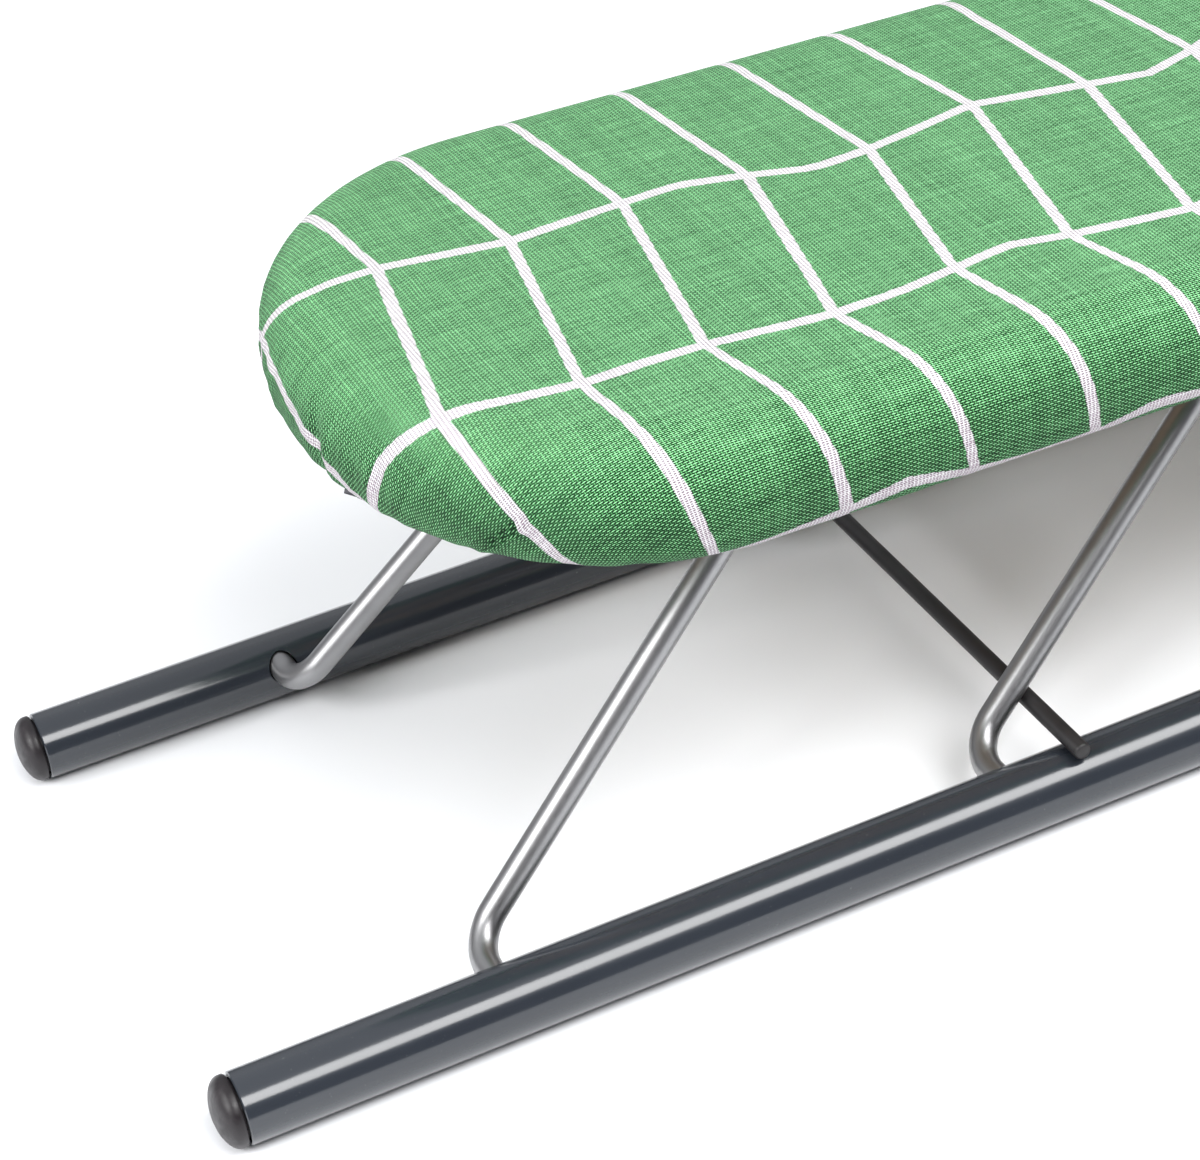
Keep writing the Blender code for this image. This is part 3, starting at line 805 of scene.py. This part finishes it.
def ring_mesh(name, rings):
    """Quads between rings of AROUND points each, and a strip that closes the innermost one."""
    points = np.concatenate(rings)
    faces = []
    for ring in range(len(rings) - 1):
        base = ring * AROUND
        for index in range(AROUND):
            after = (index + 1) % AROUND
            faces.append((base + index, base + AROUND + index, base + AROUND + after, base + after))
    tip = NOSE_STEPS // 2
    for index in range(tip, tip + AROUND // 2):
        opposite = NOSE_STEPS - index
        corners = [index, index + 1, (opposite - 1) % AROUND, opposite % AROUND]
        faces.append(tuple(dict.fromkeys(corners)))
    mesh = bpy.data.meshes.new(name)
    mesh.from_pydata([board_place(*point) for point in points], [], faces)
    mesh.update()
    return mesh


def set_uv(mesh, name, values):
    """A UV layer from one pair of values for each point."""
    layer = mesh.uv_layers.new(name=name)
    corners = np.empty(len(mesh.loops), dtype=np.int32)
    mesh.loops.foreach_get("vertex_index", corners)
    layer.data.foreach_set("uv", values[corners].astype(np.float32).ravel())


def make_cover(material):
    """The cloth in one piece, with its flat and printed measures, and its flat width and length."""
    rings, drop = cover_rings()
    mesh = ring_mesh("cover_cloth", [points for points, _, _ in rings])
    flat = np.concatenate([spread for _, spread, _ in rings])
    set_uv(mesh, "cloth", flat)
    set_uv(mesh, "print", print_measure(flat))

    # Painted shade: the cloth darker down the round than on the top, and darkest in the fold at the
    # foot of the crease.
    painted_side_shade = np.clip((np.arange(len(rings)) - TOP_RINGS - 4) / (ROUND_RINGS - 3), 0, 1)
    painted_crease_shades = np.concatenate([closed for _, _, closed in rings])
    stretch = np.repeat(painted_side_shade, AROUND) + 1.3 * painted_crease_shades
    # The painted shade is kept as the stretch attribute.
    layer = mesh.attributes.new("stretch", "FLOAT", "POINT")
    layer.data.foreach_set("value", stretch.astype(np.float32))

    cover = new_object("cover_cloth", mesh)
    cloth = cover.modifiers.new("Cloth", "SOLIDIFY")
    cloth.thickness = COVER_THICKNESS * 0.8
    cloth.offset = -1.0
    cover = baked(cover)
    cover.data.shade_smooth()
    finished(cover, material, "green_cotton", "board", "fabric_cover")
    cut_length = BOARD_LENGTH - 2 * ROUND_ACROSS + 2 * drop
    cut_width = 2 * (BOARD_HALF_WIDTH - ROUND_ACROSS + drop)
    return cover, cut_width, cut_length


def pad_section():
    """The foam's profile from the flat top's edge, down outside the panel and back in over it."""
    outside = COVER_THICKNESS + GAP
    inside = outside + PAD_SIDE
    section = []
    for step in range(1, 8):
        angle = step / 7 * pi / 2
        inset = outside + (ROUND_ACROSS - outside) * (1 - sin(angle))
        section.append((inset, PAD_TOP - (ROUND_DOWN - outside) * (1 - cos(angle))))
    low = COVER_BOTTOM + outside
    bend = BOTTOM_ROUND - outside
    section.append((outside, low + bend))
    for angle in (0.5, 1.0):
        section.append((outside + bend * (1 - cos(angle)), low + bend * (1 - sin(angle))))
    section += [(inside, low + PAD_FOOT), (inside, PANEL_TOP + GAP), (PAD_LEDGE, PANEL_TOP + GAP)]
    return section


def make_pad(material):
    """The foam over the panel and down its sides."""
    edge, middle = flat_top()
    shares = (0.03, 0.3, 0.6, 0.85, 1.0)
    rings = [at_height(middle + (edge - middle) * share, PAD_TOP) for share in shares]
    rings += [at_height(perimeter(inset), z) for inset, z in pad_section()]
    mesh = ring_mesh("foam_layer", rings)
    bm = bmesh.new()
    bm.from_mesh(mesh)
    bmesh.ops.holes_fill(bm, edges=[border for border in bm.edges if border.is_boundary])
    bmesh.ops.recalc_face_normals(bm, faces=bm.faces)
    bm.to_mesh(mesh)
    bm.free()
    pad = new_object("foam_layer", mesh)
    smooth(pad, 50)
    finished(pad, material, "foam", "board", "foam_pad")


def make_elastic(material):
    """The elastic inside the hem's roll, tied in a knot that hangs out under the tip."""
    loop = perimeter(ELASTIC_INSET)[::2]
    points = [board_place(x, y, ELASTIC_Z) for x, y in loop]
    ring = swept("elastic_ring", points, ELASTIC_RADIUS * 0.75, 3, cyclic=True)
    tie = Vector((TIP_X + ELASTIC_INSET, -0.0060, ELASTIC_Z - 0.0020))
    knot_size = 0.0007
    knot = []
    for step in range(59):
        t = 2 * pi * step / 60
        loop_x, loop_y = sin(t) + 2 * sin(2 * t), 1.4 * (cos(t) - 2 * cos(2 * t))
        knot.append(tie + knot_size * Vector((loop_x, loop_y, -sin(3 * t))))
    long_end = [
        Vector((TIP_X + 0.0040, -0.0103, COVER_BOTTOM - 0.0013)),
        Vector((TIP_X + 0.0060, -0.0122, COVER_BOTTOM - 0.0019)),
        Vector((TIP_X + 0.0120, -0.0105, COVER_BOTTOM - 0.0022)),
    ]
    short_end = [tie + Vector((0.0042, -0.0040, -0.0016)), tie + Vector((0.0060, -0.0085, -0.0006))]
    path = [Vector(board_place(*point)) for point in long_end + knot + short_end]
    tied = swept("elastic_knot", path, ELASTIC_RADIUS * 0.5, 3)
    both = {"active_object": ring, "object": ring, "selected_editable_objects": [ring, tied]}
    with bpy.context.temp_override(**both):
        bpy.ops.object.join()
    ring.data.shade_smooth()
    finished(ring, material, "elastic", "board", "hem_elastic")


# ---- everything together ----

paint = paint_material()
bar_paint = bar_material()
plastic = plastic_material()
wire_steel = steel_material("zinc_plated_wire", (0.36, 0.358, 0.365), (0.34, 0.44))
sheet_steel = steel_material("zinc_plated_sheet", (0.60, 0.60, 0.60), (0.30, 0.48))
cotton = cloth_material()
foam = foam_material()
chipboard = chipboard_material()
elastic = elastic_material()

for side, y in (("near", NEAR_Y), ("far", FAR_Y)):
    make_tube(f"base_tube_{side}", y, paint)
    make_plug(f"end_plug_front_{side}", TUBE_FRONT_X, y, -1, plastic)
    make_plug(f"end_plug_rear_{side}", TUBE_REAR_X, y, 1, plastic)
make_crossbar("crossbar_front", bar_paint)
make_crossbar("crossbar_rear", bar_paint)
make_leg("front_leg", FRONT_PIVOT, wire_steel)
make_leg("rear_leg", REAR_PIVOT, wire_steel)
make_pad(foam)
make_elastic(elastic)
cover, cut_width, cut_length = make_cover(cotton)

# The CAD's own meshes that stay in view, each with a better material in its slots.
in_steel = [f"saddle_{leg}_{side}" for leg in ("front", "rear") for side in ("near", "far")]
in_steel += [f"saddle_screw_{index}" for index in range(1, 9)]
shown = {"board_panel": chipboard, "hinge_strip": chipboard} | dict.fromkeys(in_steel, sheet_steel)
for node, material in shown.items():
    for material_slot in frame["nodes"][node].material_slots:
        material_slot.material = material


# ---- floor, light and camera ----


def make_floor():
    """A matt white floor with the faintest clouding."""
    half = 4.0
    corners = [(-half, -half, 0), (half, -half, 0), (half, half, 0), (-half, half, 0)]
    mesh = bpy.data.meshes.new("floor")
    mesh.from_pydata(corners, [], [(0, 1, 2, 3)])
    floor = new_object("floor", mesh)
    n = Nodes("white_floor", 0.7)
    n.set(Specular_IOR_Level=0.2)
    n.colour(n.mix(n.noise(n.object_place(), 3.0), (0.93, 0.94, 0.96), (0.95, 0.96, 0.98)))
    mesh.materials.append(n.material)


def make_softbox(name, place, aim, size, power):
    """A rectangular light at a place, turned to face a point. Its power is in watts."""
    lamp = bpy.data.lights.new(name, "AREA")
    lamp.shape = "RECTANGLE"
    lamp.size, lamp.size_y = size
    lamp.energy = power
    light = new_object(name, lamp)
    light.location = place
    light.rotation_euler = (Vector(aim) - Vector(place)).to_track_quat("-Z", "Y").to_euler()


def make_world():
    """Studio fill: bright overhead and behind, dim low down on the camera's side."""
    world = bpy.data.worlds.new("studio")
    bpy.context.scene.world = world
    world.use_nodes = True
    tree = world.node_tree
    direction = tree.nodes.new("ShaderNodeTexCoord").outputs["Generated"]
    split = tree.nodes.new("ShaderNodeSeparateXYZ")
    tree.links.new(direction, split.inputs[0])
    height = tree.nodes.new("ShaderNodeMath")
    height.operation = "MULTIPLY_ADD"
    tree.links.new(split.outputs[1], height.inputs[0])
    height.inputs[1].default_value = 0.35
    tree.links.new(split.outputs[2], height.inputs[2])
    ramp = tree.nodes.new("ShaderNodeValToRGB")
    tree.links.new(height.outputs[0], ramp.inputs[0])
    dim, bright = ramp.color_ramp.elements
    dim.position, dim.color = 0.25, (0.08, 0.08, 0.09, 1)
    bright.position, bright.color = 0.85, (0.97, 0.99, 1.02, 1)
    background = tree.nodes["Background"]
    background.inputs["Strength"].default_value = 0.72
    tree.links.new(ramp.outputs[0], background.inputs[0])


def make_camera():
    """A long lens in front of the nose, on the near side and well above the board."""
    data = bpy.data.cameras.new("camera")
    data.sensor_width = 36.0
    data.lens = 93.32
    data.clip_start = 0.01
    camera = new_object("camera", data)
    right = Vector((0.89987562, -0.42431936, -0.10088084))
    up = Vector((0.31970884, 0.48441922, 0.81432443))
    turn = Matrix((right, up, right.cross(up))).transposed().to_4x4()
    camera.matrix_world = Matrix.Translation((-0.34367, -0.42042, 0.35455)) @ turn
    bpy.context.scene.camera = camera


make_floor()
make_softbox("key", (0.20, -0.62, 1.02), (-0.10, -0.03, 0.03), (1.2, 0.52), 17.0)
make_softbox("left", (-1.20, -0.20, 0.75), (-0.15, 0.0, 0.03), (0.8, 0.7), 14.5)
make_world()
make_camera()
bpy.context.scene.view_settings.view_transform = "Standard"
